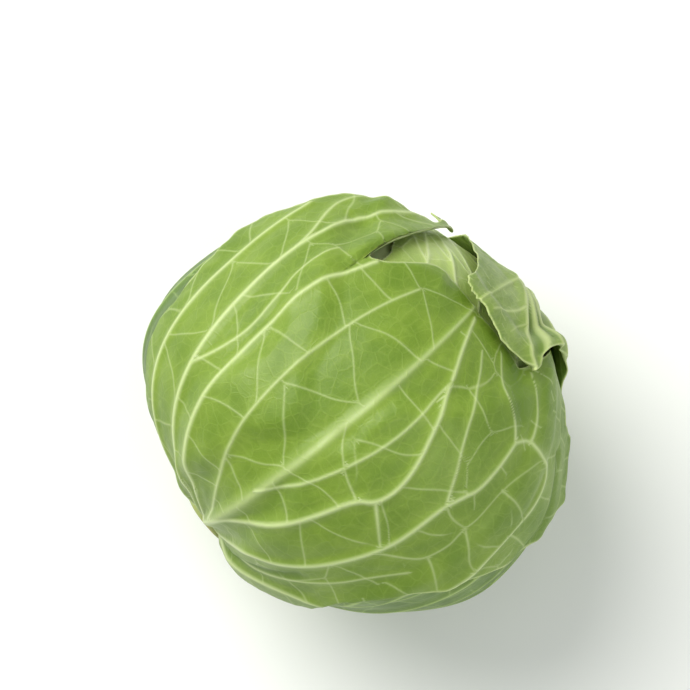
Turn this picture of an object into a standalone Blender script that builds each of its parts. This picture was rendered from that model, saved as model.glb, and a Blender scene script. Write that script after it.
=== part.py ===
"""A head of savoy cabbage, lying on its side.

Four wrapper leaves close round a dense inner head, on the cut stub of the stalk. Each leaf is a curved
blade with a thick midrib, side ribs and a raised net between them. The inner head is a core of tight
leaves, and the outermost of them, which shows at the crown, stands out of it in the same piece. The shape
is worked out in the head's own frame, in millimetres: the stalk at -Z, the crown at +Z, and +X facing up
as the head lies. A leaf is drawn on a flat plan, in degrees of arc round the head, and then draped over
what lies inside it. The head is last turned onto its side, with the flat spot that it rests on at the
origin.
"""

import math

import bmesh
import bpy
import numpy as np

MM = 0.001

# The core: a slightly squashed ball, squarer to the left and to the base
CORE_RADIUS = 81.0
CORE_TOP = 73.0
CORE_BOTTOM = 65.0
CORE_SQUARENESS = 2.35
CORE_SQUARER_LEFT = 0.35
CORE_SQUARER_BASE = 0.35
CORE_FULLER_SIDE = 1.8
CORE_LEANING = 3.5
SUNK = 1.5

# Where the core is fuller or flatter than that: by how much in millimetres, then, in degrees, the bearing
# round the stalk, the height above the stalk, and how far round. They fade out towards the stalk, between
# these two heights.
BULGES_FADE = (14.0, 22.0)
BULGES = (
    (-3.4, 100, 143, 18),
    (-2.8, -97, 133, 9),
    (-2.6, -92, 106, 11),
    (3.2, 67, 20, 13),
    (2.4, 79, 36, 9),
    (2.6, 89, 82, 13),
    (2.2, -77, 32, 10),
)

# The stalk
STALK_RADIUS = 14.0
STALK_END = 76.5
STALK_ROUNDING = 1.2
STALK_SIDES = 36
STALK_COLOUR = (0.72, 0.72, 0.48)
CLEARANCE = 0.6

# How the leaves lie on one another, in millimetres
BLADE = 1.1
LAYER_GAP = 0.9
LAYER_RISE = 3.3
COVER_MARGIN = 6.0
COVER_FALL = 11.0

# The clasp of a leaf's base round the stalk: its half turn in degrees, its spread, and its stand-off, and
# where along the leaf a lobe at the base is widest, and how long it is
CLASP = 44.0
CLASP_SPREAD = 1.5
BASE_STANDOFF = 1.8
LOBE_PLACE = 0.06
LOBE_LENGTH = 0.16

# The ribs and the net, in millimetres at the base and at the tip, and what is left of them where covered
MIDRIB_HALF_WIDTH = (4.6, 1.5)
MIDRIB_HEIGHT = (3.4, 0.6)
SIDE_RIB_HALF_WIDTH = (4.2, 3.0)
SIDE_RIB_HEIGHT = (2.6, 1.8)
NET_HEIGHT = 1.0
PRESSED_FLAT = 0.25
TAPER_POWER = 1.2

# The margins: how wide the lifted strip is, where along the leaf it starts, how its waves run, and how far
# the tip is rounded. Across the tip of the front leaf, where the step, the notch and the long corner are, as
# shares of the half width. OUTLINE_STEPS and BLENDING set how finely an outline is drawn, and how sharply
# its bulge meets its ends.
LIFT_REACH = 9.0
LIFT_START = 0.12
LIFT_FULL = 0.37
FLUTTER = 0.6
OUT_OF_STEP = 2.0
TIP_ROUNDING = 0.35
STEP_PLACE = -0.65
STEP_WIDTH = 0.1
NOTCH_PLACE = -0.58
NOTCH_HALF_WIDTH = 0.17
CORNER_PLACE = 0.5
CORNER_WIDTH = 0.16
OUTLINE_STEPS = 48
BLENDING = 6.0

# How the head lies: the crown's direction in the picture, its tilt towards the eye, and the eye's height
CROWN_TURN = 38.5
CROWN_TILT = 8.0
EYE_ELEVATION = 80.0

# The flat spot under the head, and how much higher each layer inside the last is flattened
REST_HEIGHT = 84.0
REST_SLOT = 1.9
REST_CONE = 0.3

# The grid of a leaf: rows from base to tip, and columns laid along the side ribs and their feet
ROWS = 27
ROW_CROWDING = 0.9
COLUMNS = (0.0, 0.04, 0.08, 0.17, 0.23, 0.28, 0.33, 0.40, 0.45, 0.50, 0.56, 0.61, 0.66, 0.73, 0.79, 0.89, 1.0)

# One degree of arc on the plan of a leaf, as a length on the head
ARC = math.radians(1.0) * 84.0

# Side ribs as (where the rib leaves the midrib, how far out it settles, how fast)
SIDE_RIBS = (
    (0.02, 0.79, 0.08),
    (0.06, 0.45, 0.10),
    (0.09, 0.61, 0.12),
    (0.15, 0.28, 0.12),
    (0.34, 0.17, 0.10),
    (0.52, 0.08, 0.08),
)

# A puff is where a blade stands out: by how much in millimetres, where on its plan, and how far round
EVEN = (0.0, 0, 0, 20)

# Inner leaf first. Angles in degrees: bearing round the stalk, height of the leaf's middle above the stalk,
# tip beyond the middle, half width to the left and right, half width of the tip, bend of the midrib, how
# much wider the base is to the left and right, how much shorter the leaf is to the right of its step, how deep
# the notch at the step is, and how much longer the right corner is.
LEAVES = (
    dict(name="crown_leaf", bearing=50, middle=100, tip=128, sides=(76, 72), end=(46, 40), bend=4, lobe=(0, 0),
         fullness=(0.42, 0.42), skew=(0.9, 0.9), close=(1.0, 1.0), step=0, notch=0, corner=0,
         puff=EVEN, lift=0.0, ruffle=0.05, waves=7, phase=0.3,
         colour=(0.36, 0.50, 0.13)),
    dict(name="right_leaf", bearing=97, middle=88, tip=66, sides=(80, 80), end=(34, 34), bend=-5, lobe=(0, 0),
         fullness=(0.45, 0.40), skew=(1.2, 1.2), close=(1.0, 1.0), step=0, notch=0, corner=0,
         puff=EVEN, lift=1.5, ruffle=0.03, waves=8, phase=1.1,
         colour=(0.21, 0.36, 0.08)),
    dict(name="left_leaf", bearing=-104, middle=88, tip=50, sides=(80, 82), end=(34, 34), bend=6, lobe=(0, 0),
         fullness=(0.40, 0.45), skew=(1.2, 1.2), close=(1.0, 1.0), step=0, notch=0, corner=0,
         puff=(2.0, -34, 8, 26), lift=1.2, ruffle=0.03, waves=7, phase=2.4,
         colour=(0.17, 0.31, 0.07)),
    dict(name="front_leaf", bearing=0, middle=85, tip=104, sides=(72, 83), end=(50, 60), bend=3, lobe=(0, 31),
         fullness=(0.55, 0.55), skew=(1.1, 1.8), close=(1.0, 0.7), step=44, notch=18, corner=24,
         puff=(1.6, -66, 0, 14), lift=1.2, ruffle=0.022, waves=7, phase=0.8,
         colour=(0.30, 0.46, 0.11)),
    dict(name="back_leaf", bearing=179, middle=105, tip=111, sides=(52, 30), end=(41, 14), bend=-3, lobe=(0, 0),
         fullness=(0.45, 0.45), skew=(0.85, 0.85), close=(1.0, 1.0), step=0, notch=0, corner=0,
         puff=(3.0, 66, -13, 14), lift=0.8, ruffle=0.05, waves=7, phase=2.7,
         colour=(0.27, 0.43, 0.10)),
)


def unit(values):
    return values / np.linalg.norm(values)


def lying_frame():
    """The head's axes in the world: +X towards the eye, +Z to the crown, turned and tilted as it lies."""
    turn = math.radians(CROWN_TURN)
    tilt = math.radians(CROWN_TILT)
    eye = math.radians(EYE_ELEVATION)
    right = np.array([1.0, 0.0, 0.0])
    up = np.array([0.0, math.sin(eye), math.cos(eye)])
    to_eye = np.array([0.0, -math.cos(eye), math.sin(eye)])
    flat = math.cos(turn) * right + math.sin(turn) * up
    crown = math.cos(tilt) * flat + math.sin(tilt) * to_eye
    front = unit(to_eye - crown * (to_eye @ crown))
    return np.array([front, np.cross(crown, front), crown])


LYING = lying_frame()
DOWN = LYING @ np.array([0.0, 0.0, -1.0])


def smooth_step(value):
    value = np.clip(value, 0.0, 1.0)
    return value * value * (3.0 - 2.0 * value)


def towards(bearing, height):
    """The direction from the head's centre at a bearing round the stalk and a height above it, in degrees."""
    turn = math.radians(bearing)
    rise = math.radians(height)
    return np.array([math.sin(rise) * math.cos(turn), math.sin(rise) * math.sin(turn), -math.cos(rise)])


def degrees_from(direction, d):
    return np.degrees(np.arccos(np.clip(d @ direction, -1.0, 1.0)))


def leaf_axes(leaf):
    """The middle of the leaf on the head, the way to its tip there, and the way to its right side."""
    middle = towards(leaf["bearing"], leaf["middle"])
    tipward = towards(leaf["bearing"], leaf["middle"] + 90.0)
    side = towards(leaf["bearing"] + 90.0, 90.0)
    return middle, tipward, side


def directions(leaf, x, y):
    """Directions on the head for points of the leaf's plan, measured straight from the leaf's middle."""
    middle, tipward, side = leaf_axes(leaf)
    reach = np.radians(np.hypot(x, y))
    turn = np.arctan2(y, x)
    flat = np.cos(turn)[..., None] * tipward + np.sin(turn)[..., None] * side
    return np.cos(reach)[..., None] * middle + np.sin(reach)[..., None] * flat


def plan(leaf, d):
    """The reverse of directions: where on the leaf's plan each direction falls."""
    middle, tipward, side = leaf_axes(leaf)
    reach = degrees_from(middle, d)
    x = d @ tipward
    y = d @ side
    away = np.maximum(np.hypot(x, y), 1e-9)
    return reach * x / away, reach * y / away


def base_angle(leaf):
    """How far from the stalk's axis, in degrees, the leaf starts, so that it clears the stalk."""
    layers = min(LEAVES.index(leaf), 3)
    radius = CORE_BOTTOM + layers * LAYER_RISE
    return math.degrees(math.asin((STALK_RADIUS + CLEARANCE) / radius)) + BASE_STANDOFF


def side_of(pair, s):
    """The value for the left side where s is negative, and for the right side elsewhere."""
    return np.where(s < 0, *pair)


def half_width(leaf, u, s):
    """Half the width at u of the way from base to tip, in degrees, on the side that s points to."""
    closing = side_of(leaf["close"], s) * np.clip(u, 0.0, 1.0) ** side_of(leaf["skew"], s)
    swell = np.sin(math.pi * closing)
    bulge = side_of(leaf["sides"], s) * np.maximum(swell, 0.0) ** side_of(leaf["fullness"], s)
    clasp = CLASP_SPREAD * base_angle(leaf) * math.sin(math.radians(CLASP))
    ends = clasp * (1.0 - u) ** 3 + side_of(leaf["end"], s) * u**3
    lobe = side_of(leaf["lobe"], s) * np.exp(-(((u - LOBE_PLACE) / LOBE_LENGTH) ** 2))
    wave = np.sin(leaf["waves"] * math.pi * u + leaf["phase"] + OUT_OF_STEP * (s < 0))
    return ((bulge**BLENDING + ends**BLENDING) ** (1.0 / BLENDING) + lobe) * (1.0 + leaf["ruffle"] * wave)


def tip_reach(leaf, s):
    """How far the leaf reaches beyond its middle, in degrees, with its corners rounded."""
    step = leaf["step"] * smooth_step((s - STEP_PLACE) / STEP_WIDTH + 0.5)
    notch = leaf["notch"] * np.exp(-(((s - NOTCH_PLACE) / NOTCH_HALF_WIDTH) ** 2))
    corner = leaf["corner"] * smooth_step((s - CORNER_PLACE) / CORNER_WIDTH + 0.5)
    return leaf["tip"] - TIP_ROUNDING * side_of(leaf["end"], s) * s**4 - step - notch + corner


def tip_share(leaf, y, s):
    """Which point of the tip's edge a point lies level with, from -1 at its left end to 1 at its right."""
    return np.clip(y / side_of(leaf["end"], s), -1.0, 1.0)


def on_plan(leaf, u, s):
    """The point of the plan at u of the way from base to tip, and s of the way out to the margin."""
    away = base_angle(leaf)
    start = away - leaf["middle"]
    round_stalk = away * (1.0 - np.cos(np.radians(CLASP * s))) * (1.0 - u) ** 6
    length = leaf["tip"] - start
    y = s * half_width(leaf, u, s) + leaf["bend"] * np.sin(math.pi * u)
    shorter = leaf["tip"] - tip_reach(leaf, tip_share(leaf, y, s))
    x = start + length * u - shorter * u**2 - round_stalk
    return x, y


def outline(leaf):
    """The leaf's outline on its plan: from the stalk up the left margin, across the tip and down the right."""
    run = (1.0 - np.cos(math.pi * np.linspace(0.0, 1.0, OUTLINE_STEPS))) / 2.0
    up_left = on_plan(leaf, run, -np.ones_like(run))
    across = on_plan(leaf, np.ones_like(run), 2.0 * run - 1.0)
    down_right = on_plan(leaf, run[::-1], np.ones_like(run))
    x = np.concatenate(([-leaf["middle"]], up_left[0], across[0], down_right[0]))
    y = np.concatenate(([0.0], up_left[1], across[1], down_right[1]))
    return list(zip(x, y, np.roll(x, -1), np.roll(y, -1)))


def inside(leaf, x, y):
    """How far inside the leaf's outline each point of the plan is, in millimetres, and below 0 outside it."""
    nearest = np.full(x.shape, 360.0)
    within = np.zeros(x.shape, dtype=bool)
    for ax, ay, bx, by in outline(leaf):
        dx, dy = bx - ax, by - ay
        share = np.clip(((x - ax) * dx + (y - ay) * dy) / max(dx * dx + dy * dy, 1e-9), 0.0, 1.0)
        nearest = np.minimum(nearest, np.hypot(x - ax - share * dx, y - ay - share * dy))
        if abs(dy) > 1e-9:
            within ^= ((ay > y) != (by > y)) & (x < ax + (y - ay) * dx / dy)
    return ARC * np.where(within, nearest, -nearest)


def cover(leaf, d):
    """1 where the leaf covers the direction, falling to 0 a little way outside its margin."""
    x, y = plan(leaf, d)
    return smooth_step((inside(leaf, x, y) + COVER_MARGIN + COVER_FALL) / COVER_FALL)


def taper(ends, u):
    """A size that runs from its value at the base to its value at the tip."""
    return ends[1] + (ends[0] - ends[1]) * (1.0 - u) ** TAPER_POWER


def ridge(off, half, height):
    return height * np.exp(-((off / half) ** 2))


def midrib_swell(leaf, d):
    """The rise over a leaf's midrib that the leaves outside it have to clear."""
    x, y = plan(leaf, d)
    start = base_angle(leaf) - leaf["middle"]
    u = np.clip((x - start) / (leaf["tip"] - start), 0.0, 1.0)
    off = ARC * (y - leaf["bend"] * np.sin(math.pi * u))
    wide = 2.0 * taper(MIDRIB_HALF_WIDTH, u) + 2.0
    return taper(MIDRIB_HEIGHT, u) * np.exp(-((off / wide) ** 4))


def core_radius(d):
    """The radius of the core: between a ball and a drum turned round the stalk, fuller towards +Y, bulged."""
    flat = np.hypot(d[..., 0], d[..., 1]) / CORE_RADIUS
    tall = np.abs(d[..., 2]) / np.where(d[..., 2] > 0, CORE_TOP, CORE_BOTTOM)
    power = CORE_SQUARENESS - CORE_SQUARER_LEFT * d[..., 1] - CORE_SQUARER_BASE * d[..., 2]
    leaning = CORE_LEANING * d[..., 1] * d[..., 2]
    radius = (flat**power + tall**power) ** (-1.0 / power) + CORE_FULLER_SIDE * d[..., 1] + leaning
    start, full = BULGES_FADE
    share = smooth_step((degrees_from(towards(0, 0), d) - start) / (full - start))
    for more, bearing, height, reach in BULGES:
        away = degrees_from(towards(bearing, height), d)
        radius = radius + share * more * np.exp(-((away / reach) ** 2))
    return radius


def puff(leaf, d):
    """How far the leaf stands out where it is puffed up."""
    height, middle_x, middle_y, reach = leaf["puff"]
    x, y = plan(leaf, d)
    return height * np.exp(-((x - middle_x) ** 2 + (y - middle_y) ** 2) / reach**2)


def ground_radius(d, order):
    """The radius under the leaf of this order: the core, and each leaf inside it where that one lies."""
    radius = core_radius(d)
    for leaf in LEAVES[:order]:
        radius = radius + cover(leaf, d) * (LAYER_RISE + midrib_swell(leaf, d) + puff(leaf, d))
    return radius


def exposed(d, order):
    """1 where no later leaf covers this one."""
    share = np.ones(d.shape[:-1])
    for leaf in LEAVES[order + 1 :]:
        share = share * (1.0 - cover(leaf, d))
    return share


def rest_limit(d, layers_outside):
    """The radius at which each direction meets the flat under the head, or its own layer's flat above it."""
    down = d @ DOWN
    flat = REST_HEIGHT / np.maximum(down, REST_CONE)
    return np.where(down > REST_CONE, flat, 10.0 * REST_HEIGHT) - REST_SLOT * layers_outside


def rib_path(rib, u):
    """How far out a side rib runs at u, as a share of the half width."""
    leaves_at, settles, pace = rib
    return settles * (1.0 - np.exp(-np.maximum(u - leaves_at, 0.0) / pace))


def rib_relief(leaf, u, s, showing):
    """How high the midrib and the side ribs stand at each grid point."""
    width = ARC * half_width(leaf, u, s)
    height = ridge(s * width, taper(MIDRIB_HALF_WIDTH, u), taper(MIDRIB_HEIGHT, u))
    for rib in SIDE_RIBS:
        run = np.clip((u - rib[0]) / (1.0 - rib[0]), 0.0, 1.0)
        off = (np.abs(s) - rib_path(rib, u)) * width
        rise = ridge(off, taper(SIDE_RIB_HALF_WIDTH, run), taper(SIDE_RIB_HEIGHT, run))
        height = np.maximum(height, np.where(u > rib[0], rise, 0.0) * showing)
    return height


def net_relief(u, s):
    """The raised net: cross veins on every other row, stepped by a row from each strip to the next."""
    row = np.arange(u.shape[0])[:, None]
    strip = np.zeros(u.shape, dtype=int)
    for rib in SIDE_RIBS:
        strip = strip + (np.abs(s) > rib_path(rib, u))
    return NET_HEIGHT * ((row + strip) % 2) * (np.abs(s) < 0.99)


def margin_lift(leaf, u, s, x, y):
    """How far the blade stands off near its margin, in waves."""
    ahead = tip_reach(leaf, tip_share(leaf, y, s)) - x
    margin = ARC * np.minimum(half_width(leaf, u, s) * (1.0 - np.abs(s)), ahead)
    near = np.exp(-((np.maximum(margin, 0.0) / LIFT_REACH) ** 2))
    free = smooth_step((u - LIFT_START) / (LIFT_FULL - LIFT_START))
    flutter = 1.0 + FLUTTER * np.sin(leaf["waves"] * math.pi * u + leaf["phase"] + 3.0 * s)
    return leaf["lift"] * near * free * flutter


def leaf_points(order):
    """The outer and the inner face of a leaf, as grids of points in the head's frame."""
    leaf = LEAVES[order]
    columns = [-c for c in COLUMNS[:0:-1]] + list(COLUMNS)
    rows = (1.0 - np.cos(math.pi * np.linspace(0.0, 1.0, ROWS) ** ROW_CROWDING)) / 2.0
    u, s = np.meshgrid(rows, columns, indexing="ij")
    x, y = on_plan(leaf, u, s)
    d = directions(leaf, x, y)
    free = exposed(d, order)
    showing = PRESSED_FLAT + (1.0 - PRESSED_FLAT) * free
    raised = net_relief(u, s) * showing + margin_lift(leaf, u, s, x, y) * free
    inner = ground_radius(d, order) + LAYER_GAP + puff(leaf, d) + raised
    outer = inner + BLADE + rib_relief(leaf, u, s, showing)
    if order == 0:
        inner = core_radius(d) - SUNK
    limit = rest_limit(d, len(LEAVES) - 1 - order)
    outer = np.minimum(outer, limit)
    inner = np.minimum(inner, limit - BLADE)
    return d * outer[..., None], d * inner[..., None]


def to_world(points):
    """From the head's frame in millimetres to the world in metres, standing on its flat spot."""
    return (points @ LYING + np.array([0.0, 0.0, REST_HEIGHT])) * MM


def material(name, colour, roughness):
    made = bpy.data.materials.new(name)
    made.use_nodes = True
    shader = made.node_tree.nodes["Principled BSDF"]
    shader.inputs["Base Color"].default_value = (*colour, 1.0)
    shader.inputs["Roughness"].default_value = roughness
    shader.inputs["Metallic"].default_value = 0.0
    return made


def add_object(name, bm, colour, roughness=0.5):
    bmesh.ops.recalc_face_normals(bm, faces=bm.faces[:])
    if bm.calc_volume(signed=True) < 0.0:
        bmesh.ops.reverse_faces(bm, faces=bm.faces[:])
    mesh = bpy.data.meshes.new(name)
    bm.to_mesh(mesh)
    bm.free()
    mesh.shade_smooth()
    mesh.materials.append(material(name, colour, roughness))
    made = bpy.data.objects.new(name, mesh)
    bpy.context.scene.collection.objects.link(made)
    return made


def place(verts, points):
    for vert, point in zip(verts, to_world(points)):
        vert.co = point


def make_leaf(order):
    """A grid is split into triangles, doubled by an extrusion, and its two faces are draped on the head."""
    leaf = LEAVES[order]
    outer, inner = leaf_points(order)
    rows, columns = outer.shape[:2]
    bm = bmesh.new()
    bmesh.ops.create_grid(bm, x_segments=columns - 1, y_segments=rows - 1, size=1.0)
    bmesh.ops.triangulate(bm, faces=bm.faces[:], quad_method="ALTERNATE")
    lower = list(bm.verts)
    made = bmesh.ops.extrude_face_region(bm, geom=bm.faces[:], use_keep_orig=True)
    upper = [v for v in made["geom"] if isinstance(v, bmesh.types.BMVert)]
    order_of = {(round(v.co.x, 5), round(v.co.y, 5)): i for i, v in enumerate(lower)}
    upper.sort(key=lambda v: order_of[(round(v.co.x, 5), round(v.co.y, 5))])
    place(lower, inner.reshape(-1, 3))
    place(upper, outer.reshape(-1, 3))
    return add_object(leaf["name"], bm, leaf["colour"])


def make_head():
    """The core, with the innermost of the leaves sunk into it and joined to it as one solid."""
    bm = bmesh.new()
    bmesh.ops.create_icosphere(bm, subdivisions=4, radius=1.0)
    d = np.array([v.co.normalized() for v in bm.verts])
    radius = np.minimum(core_radius(d), rest_limit(d, len(LEAVES)))
    place(bm.verts, d * radius[:, None])
    head = add_object("head", bm, LEAVES[0]["colour"])
    leaf = make_leaf(0)
    leaf.hide_render = True
    leaf.display_type = "WIRE"
    join = head.modifiers.new("crown_leaf", "BOOLEAN")
    join.operation = "UNION"
    join.solver = "EXACT"
    join.object = leaf
    return head


def make_stalk():
    """A short turned stub, its two ends bevelled, below the core."""
    bm = bmesh.new()
    length = STALK_END - CORE_BOTTOM - CLEARANCE
    bmesh.ops.create_cone(
        bm, cap_ends=True, segments=STALK_SIDES, radius1=STALK_RADIUS, radius2=STALK_RADIUS, depth=length
    )
    ends = [e for e in bm.edges if abs(e.verts[0].co.z - e.verts[1].co.z) < 1e-6]
    bmesh.ops.bevel(
        bm, geom=ends, offset=STALK_ROUNDING, segments=2, profile=0.5, affect="EDGES", material=-1
    )
    middle = np.array([0.0, 0.0, -CORE_BOTTOM - CLEARANCE - length / 2.0])
    place(bm.verts, np.array([v.co for v in bm.verts]) + middle)
    return add_object("stalk", bm, STALK_COLOUR)


def main():
    for old in list(bpy.data.objects):
        bpy.data.objects.remove(old)
    make_stalk()
    make_head()
    for order in range(1, len(LEAVES)):
        make_leaf(order)


main()
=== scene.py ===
# %% [markdown]
# # A head of savoy cabbage, lying on its side
#
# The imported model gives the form: a dense inner head, four wrapper leaves that close round it, and the cut
# stub of the stalk. This lesson gives that form its surface. Each leaf is drawn again as a much finer blade,
# with every rib, branch and cross vein, and then gets the finish of a fresh leaf. We load the model first,
# because every piece made here lies where the model's own solid lies.

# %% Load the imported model
import math

import bmesh
import bpy
import numpy as np
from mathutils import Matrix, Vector


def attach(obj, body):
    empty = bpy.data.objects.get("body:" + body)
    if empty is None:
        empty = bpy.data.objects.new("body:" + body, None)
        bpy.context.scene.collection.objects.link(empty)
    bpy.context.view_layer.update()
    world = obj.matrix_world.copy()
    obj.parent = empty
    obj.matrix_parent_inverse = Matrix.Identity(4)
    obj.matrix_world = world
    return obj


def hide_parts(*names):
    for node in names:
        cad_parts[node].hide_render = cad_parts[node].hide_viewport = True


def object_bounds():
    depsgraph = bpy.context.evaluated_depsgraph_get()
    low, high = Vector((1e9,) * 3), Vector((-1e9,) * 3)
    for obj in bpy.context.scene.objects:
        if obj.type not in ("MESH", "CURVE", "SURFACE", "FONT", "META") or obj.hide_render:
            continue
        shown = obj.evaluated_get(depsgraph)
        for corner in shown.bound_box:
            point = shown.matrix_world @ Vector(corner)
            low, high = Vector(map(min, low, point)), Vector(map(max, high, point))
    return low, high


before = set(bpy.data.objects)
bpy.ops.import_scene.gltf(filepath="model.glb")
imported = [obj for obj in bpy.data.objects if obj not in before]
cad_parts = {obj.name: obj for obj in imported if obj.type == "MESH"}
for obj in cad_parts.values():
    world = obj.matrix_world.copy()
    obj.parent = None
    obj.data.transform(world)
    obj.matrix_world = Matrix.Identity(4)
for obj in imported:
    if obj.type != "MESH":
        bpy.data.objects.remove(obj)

MM = 0.001
cad_box = [list(corner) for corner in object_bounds()]
print("model's box, mm:", [[round(c / MM, 1) for c in corner] for corner in cad_box])

# %% [markdown]
# ## The head's own frame
#
# A leaf is much easier to describe on an upright head than on one that lies tilted. So all the shaping is
# done in the head's own frame, in millimetres: the stalk points down, the crown up, and +X is the side that
# faces the eye. The last step turns each finished piece onto its side. The three axes could be typed in as
# numbers, but working them out from the turn and the tilt keeps their meaning.

# %% How the head lies
CROWN_TURN = 38.5      # the crown's direction in the picture, in degrees
CROWN_TILT = 8.0       # how far the crown leans towards the eye
EYE_ELEVATION = 80.0   # how high the eye stands
REST_HEIGHT = 84.0     # from the head's centre down to the flat spot that it rests on


def unit(values):
    return values / np.linalg.norm(values)


def lying_frame():
    turn, tilt, eye = (math.radians(a) for a in (CROWN_TURN, CROWN_TILT, EYE_ELEVATION))
    right = np.array([1.0, 0.0, 0.0])
    up = np.array([0.0, math.sin(eye), math.cos(eye)])
    to_eye = np.array([0.0, -math.cos(eye), math.sin(eye)])
    flat = math.cos(turn) * right + math.sin(turn) * up
    crown = math.cos(tilt) * flat + math.sin(tilt) * to_eye
    front = unit(to_eye - crown * (to_eye @ crown))
    return np.array([front, np.cross(crown, front), crown])


LYING = lying_frame()
DOWN = LYING @ np.array([0.0, 0.0, -1.0])


def to_world(points):
    return (points @ LYING + np.array([0.0, 0.0, REST_HEIGHT])) * MM


print("the crown points along", np.round(LYING[2], 3))

# %% [markdown]
# ## The leaves on a flat plan
#
# Each leaf is drawn flat first, in degrees of arc about its middle, as on a map. u runs from its base to its
# tip and s from its left margin (-1) over the midrib (0) to its right margin (1). The same numbers shape the
# model's solids, so the finer blades fall exactly on them. To them we add what a solid is too coarse for: a
# margin that isn't quite even.

# %% The leaves in numbers
HEAD_RADIUS = 84.0                      # the ball that the plan is laid on, in millimetres
ARC = math.radians(1.0) * HEAD_RADIUS   # one degree of the plan, in millimetres
# What a leaf has unless it says otherwise. puff is how high it is puffed up, where, and how far round
PLAIN = dict(close=(1.0, 1.0), lobe=(0, 0), step=0, notch=0, corner=0, puff=(0.0, 0, 0, 20))

LEAVES = (
    dict(PLAIN, name="crown_leaf", bearing=50, middle=100, tip=128, sides=(76, 72), end=(46, 40), bend=4,
         fullness=(0.42, 0.42), skew=(0.9, 0.9), lift=0.0, ruffle=0.05, waves=7, phase=0.3),
    dict(PLAIN, name="right_leaf", bearing=97, middle=88, tip=66, sides=(80, 80), end=(34, 34), bend=-5,
         fullness=(0.45, 0.40), skew=(1.2, 1.2), lift=1.5, ruffle=0.03, waves=8, phase=1.1),
    dict(PLAIN, name="left_leaf", bearing=-104, middle=88, tip=50, sides=(80, 82), end=(34, 34), bend=6,
         fullness=(0.40, 0.45), skew=(1.2, 1.2), puff=(2.0, -34, 8, 26), lift=1.2, ruffle=0.03, waves=7,
         phase=2.4),
    dict(name="front_leaf", bearing=0, middle=85, tip=104, sides=(72, 83), end=(50, 60), bend=3,
         fullness=(0.55, 0.55), skew=(1.1, 1.8), close=(1.0, 0.7), lobe=(0, 31), step=44, notch=18,
         corner=24, puff=(1.6, -66, 0, 14), lift=1.2, ruffle=0.022, waves=7, phase=0.8),
    dict(PLAIN, name="back_leaf", bearing=179, middle=105, tip=111, sides=(52, 30), end=(41, 14), bend=-3,
         fullness=(0.45, 0.45), skew=(0.85, 0.85), puff=(3.0, 66, -13, 14), lift=0.8, ruffle=0.05, waves=7,
         phase=2.7),
)
print(len(LEAVES), "leaves; one degree of their plan is", round(ARC, 2), "mm")


# %% Between the head and the plan
def smooth_step(value):
    value = np.clip(value, 0.0, 1.0)
    return value * value * (3.0 - 2.0 * value)


def towards(bearing, height):
    """The direction at a bearing round the stalk and a height above it, in degrees."""
    turn, rise = math.radians(bearing), math.radians(height)
    return np.array([math.sin(rise) * math.cos(turn), math.sin(rise) * math.sin(turn), -math.cos(rise)])


def fading(distance, width):
    """1 at a line or a place, falling away over this width."""
    return np.exp(-((distance / width) ** 2))


def degrees_from(direction, d):
    return np.degrees(np.arccos(np.clip(d @ direction, -1.0, 1.0)))


def leaf_axes(leaf):
    """The leaf's middle on the head, the way to its tip and the way to its right."""
    bearing, height = leaf["bearing"], leaf["middle"]
    return towards(bearing, height), towards(bearing, height + 90.0), towards(bearing + 90.0, 90.0)


def directions(leaf, x, y):
    """Directions on the head for points of the plan."""
    middle, tipward, side = leaf_axes(leaf)
    reach, turn = np.radians(np.hypot(x, y)), np.arctan2(y, x)
    flat = np.cos(turn)[..., None] * tipward + np.sin(turn)[..., None] * side
    return np.cos(reach)[..., None] * middle + np.sin(reach)[..., None] * flat


def plan(leaf, d):
    """Points of the plan for directions on the head."""
    middle, tipward, side = leaf_axes(leaf)
    reach = degrees_from(middle, d)
    x, y = d @ tipward, d @ side
    away = np.maximum(np.hypot(x, y), 1e-9)
    return reach * x / away, reach * y / away


print("the front leaf's middle faces", np.round(leaf_axes(LEAVES[3])[0], 2))

# %% A leaf's outline on the plan
STALK_RADIUS, CLEARANCE, BASE_STANDOFF = 14.0, 0.6, 1.8
CORE_BOTTOM, LAYER_RISE = 65.0, 3.3
CLASP, CLASP_SPREAD, TIP_ROUNDING, OUT_OF_STEP, BLENDING = 44.0, 1.5, 0.35, 2.0, 6.0
STEP_PLACE, STEP_WIDTH, NOTCH_PLACE, NOTCH_HALF_WIDTH = -0.65, 0.1, -0.58, 0.17
CORNER_PLACE, CORNER_WIDTH, LOBE_PLACE, LOBE_LENGTH = 0.5, 0.16, 0.06, 0.16
UNEVEN, UNEVEN_BACK, TIP_WAVE = 0.26, 0.1, 0.25   # how far a margin and a tip wander, in degrees


def base_angle(leaf):
    layers = min(LEAVES.index(leaf), 3)
    radius = CORE_BOTTOM + layers * LAYER_RISE
    return math.degrees(math.asin((STALK_RADIUS + CLEARANCE) / radius)) + BASE_STANDOFF


def side_of(pair, s):
    return np.where(s < 0, *pair)


def half_width(leaf, u, s):
    closing = side_of(leaf["close"], s) * np.clip(u, 0.0, 1.0) ** side_of(leaf["skew"], s)
    swell = np.sin(math.pi * closing)
    bulge = side_of(leaf["sides"], s) * np.maximum(swell, 0.0) ** side_of(leaf["fullness"], s)
    clasp = CLASP_SPREAD * base_angle(leaf) * math.sin(math.radians(CLASP))
    ends = clasp * (1.0 - u) ** 3 + side_of(leaf["end"], s) * u**3
    lobe = side_of(leaf["lobe"], s) * fading(u - LOBE_PLACE, LOBE_LENGTH)
    wave = np.sin(leaf["waves"] * math.pi * u + leaf["phase"] + OUT_OF_STEP * (s < 0))
    width = (bulge**BLENDING + ends**BLENDING) ** (1.0 / BLENDING) + lobe
    return width * (1.0 + leaf["ruffle"] * wave)


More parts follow.
